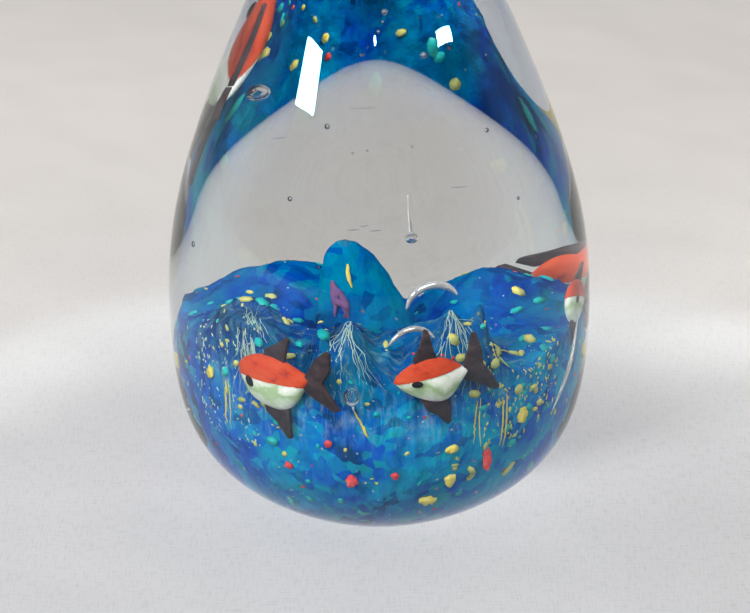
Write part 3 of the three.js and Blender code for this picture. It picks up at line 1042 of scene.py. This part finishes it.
def silver_finish():
    """Air under a long lip of glass throws all the light back, so it looks like silver."""
    f = Finish("silvery_air", roughness=0.16, specular=0.5)
    f.shader.inputs["Metallic"].default_value = 0.75
    sheen = f.noise(f.place(), 260, 2)
    f.colour(f.ramp(sheen, [(0.4, (0.78, 0.8, 0.82)), (0.6, (1, 1, 1))]))
    return f.material


AIR_FINISH = bubble_finish()
SILVER_FINISH = silver_finish()


def bubble(name, place, radii, lean=0.0):
    """A ball of air at place with three radii, all in millimetres, leaned about the line of sight."""
    deselect()
    bpy.ops.mesh.primitive_uv_sphere_add(segments=28, ring_count=18, radius=MM)
    piece = bpy.context.object
    piece.name = name
    edit()
    bpy.ops.transform.resize(value=radii)
    bpy.ops.transform.rotate(value=math.radians(lean), orient_axis="Y", center_override=(0, 0, 0))
    bpy.ops.transform.translate(value=Vector(place) * MM)
    done()
    settle(piece, AIR_FINISH)


def crescent(name, points, widths, finish=AIR_FINISH):
    """A long bubble along a line of points, thinning to both ends."""
    curve = bpy.data.curves.new(name, "CURVE")
    curve.dimensions = "3D"
    curve.bevel_depth = MM
    curve.bevel_resolution = 5
    curve.use_fill_caps = True
    spline = curve.splines.new("NURBS")
    spline.points.add(len(points) - 1)
    spline.use_endpoint_u = True
    spline.order_u = 3
    spline.resolution_u = 12
    for point, place, width in zip(spline.points, points, widths):
        point.co = (*(Vector(place) * MM), 1)
        point.radius = width
    holder = bpy.data.objects.new(name, curve)
    scene.collection.objects.link(holder)
    deselect()
    holder.select_set(True)
    bpy.context.view_layer.objects.active = holder
    bpy.ops.object.convert(target="MESH")
    piece = bpy.context.object
    piece.name = name
    edit()
    bpy.ops.mesh.remove_doubles(threshold=1e-7)
    bpy.ops.mesh.normals_make_consistent(inside=False)
    done()
    settle(piece, finish)


# %% The bubbles
SMALL_BUBBLES = [
    ((-30.3, -10.9, 55.8), 0.5), ((7.4, -15.3, 93.6), 0.55), ((1.4, -14, 101.2), 0.5),
    ((1.1, -14.4, 99.6), 0.22), ((0.4, -15, 98), 0.3), ((-7.9, -20.1, 82.7), 0.45), ((17.4, -16, 79.6), 0.38),
    ((-14.2, -22.5, 70.2), 0.4), ((22.6, -17.2, 67), 0.3), ((-3.7, -16, 76), 0.18), ((-1.5, -16, 76.4), 0.18),
    ((5.2, -16, 77), 0.2),
]
for i, (place, radius) in enumerate(SMALL_BUBBLES):
    bubble(f"small_bubble_{i + 1}", place, (radius, radius, radius * 1.1))
bubble("pressed_bubble", (-18.6, -11.3, 85.1), (2.4, 1.1, 1.5), 8)
bubble("tail_bubble", (4.8, -16.4, 60.1), (1.0, 1.0, 0.9))
bubble("wall_drop", (-4.6, -26.0, 34.6), (1.25, 0.9, 1.8))

tail = [(4.7, -15.9, 60.9), (4.5, -15.2, 64), (4.3, -14.1, 67.2)]
crescent("bubble_tail", tail, [0.4, 0.3, 0.06], SILVER_FINISH)
foot = [(-4.5, -25.8, 32.9), (-4.4, -25.6, 32.2), (-4.2, -25.4, 31.2)]
crescent("drop_foot", foot, [0.35, 0.15, 0.03])
side_arc = [(29.5, -4, 38), (29.8, -7, 33), (29, -9.5, 28), (26.5, -12, 23)]
crescent("side_crescent", side_arc, [0.1, 0.6, 0.7, 0.1], SILVER_FINISH)
upper_arc = [(3.6, -10.2, 44.6), (4.2, -10, 47), (6.8, -9.1, 48.6), (9.6, -8.6, 47.8), (10.4, -8.2, 46)]
crescent("upper_crescent", upper_arc, [0.15, 0.6, 0.75, 0.6, 0.15], SILVER_FINISH)
lower_arc = [(1.2, -20.6, 42.2), (2.2, -20.4, 43.8), (4.6, -20, 45.2), (7.2, -19.6, 44.4), (8, -19.5, 43)]
crescent("lower_crescent", lower_arc, [0.12, 0.42, 0.55, 0.42, 0.12], SILVER_FINISH)

# Each dash: its middle and half its length.
DASHES = [
    ((-3.7, -16, 61.6), 0.9), ((-0.4, -16, 61.4), 0.9), ((-2.1, -16, 62.3), 0.7), ((11.7, -12.5, 67.5), 1.2),
    ((-2, -20, 86), 2.2), ((-16, -20, 80.5), 1.2),
]
for i, (place, half) in enumerate(DASHES):
    ends = (Vector(place) - Vector((half, 0, 0)), Vector(place) + Vector((half, 0, 0.1)))
    crescent(f"dash_{i + 1}", [ends[0], place, ends[1]], [0.03, 0.13, 0.03])
print("bubbles:", AIR_FINISH.users)

# %% [markdown]
# ## The clear glass
#
# The body is one smooth drop: the flat ground base, the belly, the neck and the round tip. It stands for both
# the casing and the stub in its base, which are one glass on the real thing. Glass bends light, so the
# outline must be very even: three curves, spun in many steps.

# %% Clear glass finish
def clear_glass():
    f = Finish("clear_glass", roughness=0.0, specular=0.12)
    # The grey base colour is partly the glass's own grey-green tint and partly painted shade: it darkens all
    # that is seen through the glass.
    f.shader.inputs["Base Color"].default_value = (0.66, 0.69, 0.68, 1)
    # A little of the warm light is lost in reflection, which keeps the blues below it deep.
    f.shader.inputs["Specular Tint"].default_value = (0.42, 0.85, 1, 1)
    f.shader.inputs["Transmission Weight"].default_value = 1
    f.shader.inputs["IOR"].default_value = GLASS_INDEX
    path = f.add("ShaderNodeLightPath")
    open_way = f.add("ShaderNodeBsdfTransparent")
    mixer = f.add("ShaderNodeMixShader")
    f.link(path.outputs["Is Shadow Ray"], mixer.inputs[0])
    f.link(f.shader.outputs[0], mixer.inputs[1])
    f.link(open_way.outputs[0], mixer.inputs[2])
    f.link(mixer.outputs[0], f.tree.nodes["Material Output"].inputs["Surface"])
    return f.material


CLEAR_FINISH = clear_glass()

# %% Clear glass drop
casing_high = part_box("clear_casing")[1]
HEIGHT = casing_high.z
BELLY = casing_high.x
BASE = 20.5 * MM
BASE_RINGS = 6
DROP_STEPS = 160

belly_point = (BELLY, 38 * MM)
neck_point = (14.3 * MM, 118 * MM)
drop_outline = [(BASE * i / BASE_RINGS, 0) for i in range(BASE_RINGS)]
drop_outline += curve_through((BASE, 0), (37 * MM, 9.5 * MM), (BELLY, 16.5 * MM), belly_point, 36)
drop_outline += curve_through(belly_point, (BELLY, 57.8 * MM), (35.6 * MM, 73 * MM), neck_point, 60)[1:]
drop_outline += curve_through(neck_point, (9.2 * MM, 128.9 * MM), (7 * MM, HEIGHT), (0, HEIGHT), 30)[1:]
drop = turned("clear_glass_drop", drop_outline, DROP_STEPS)
settle(drop, CLEAR_FINISH, "clear_casing", "punty_stub")
deselect()
drop.select_set(True)
bpy.context.view_layer.objects.active = drop
bpy.ops.object.shade_smooth_by_angle(angle=math.radians(40))
print("clear glass:", len(drop.data.polygons), "faces, height", round(HEIGHT * 1000, 1), "mm")

# %% [markdown]
# ## The stage
#
# A pale woven cloth, lying flat. A painted pool of light lies on it in a soft arc behind the paperweight, and
# beyond the front edge of the table the cloth is painted dark as painted shade. It is only there to be seen
# round the glass and through it.

# %% Floor
deselect()
bpy.ops.mesh.primitive_grid_add(x_subdivisions=2, y_subdivisions=24, size=3, location=(0, 0.2, 0))
floor = bpy.context.object
floor.name = "pale_floor"
cloth = Finish("pale_cloth", roughness=0.9)
away = cloth.add("ShaderNodeSeparateXYZ")
cloth.link(cloth.place(), away.inputs[0])
bow = cloth.math("MULTIPLY", cloth.math("POWER", away.outputs["X"], 2), 3.0)
bowed = cloth.math("ADD", away.outputs["Y"], bow)
waved = cloth.math("ADD", bowed, cloth.math("MULTIPLY", cloth.noise(cloth.place(), 7, 2), 0.06))
# Painted light and shade in the cloth's colour: near black beyond the front edge, darker round the
# paperweight, a painted pool of light in a soft arc behind it, and paler far back.
cloth_tone_with_painted_light = cloth.ramp(
    cloth.math("ADD", waved, 0.27),
    [(0.0, (0.2, 0.2, 0.2)), (0.035, (0.55, 0.545, 0.55)), (0.12, (0.58, 0.57, 0.575)),
     (0.172, (0.74, 0.73, 0.72)), (0.192, (0.67, 0.64, 0.615)), (0.3, (0.76, 0.715, 0.67)),
     (1.0, (0.83, 0.78, 0.73))],
    smooth=True,
)
warp_threads = cloth.noise(cloth.stretched(cloth.place(), (1, 0.12, 1)), 2600, 2)
weft_threads = cloth.noise(cloth.stretched(cloth.place(), (0.12, 1, 1)), 2600, 2)
near_side = cloth.ramp(cloth.math("ADD", away.outputs["Y"], 0.5), [(0.3, 1.0), (0.5, 0.0)])
threads = cloth.ramp(cloth.math("ADD", warp_threads, weft_threads), [(0.8, 0.9), (1.1, 1.0)])
weave = cloth.mix(near_side, (1.0, 1.0, 1.0), threads)
cloth.colour(cloth.mix(1.0, cloth_tone_with_painted_light, weave, "MULTIPLY"))
cloth.bump(cloth.noise(cloth.place(), 9, 3), 0.25, 20 * MM)
floor.data.materials.append(cloth.material)
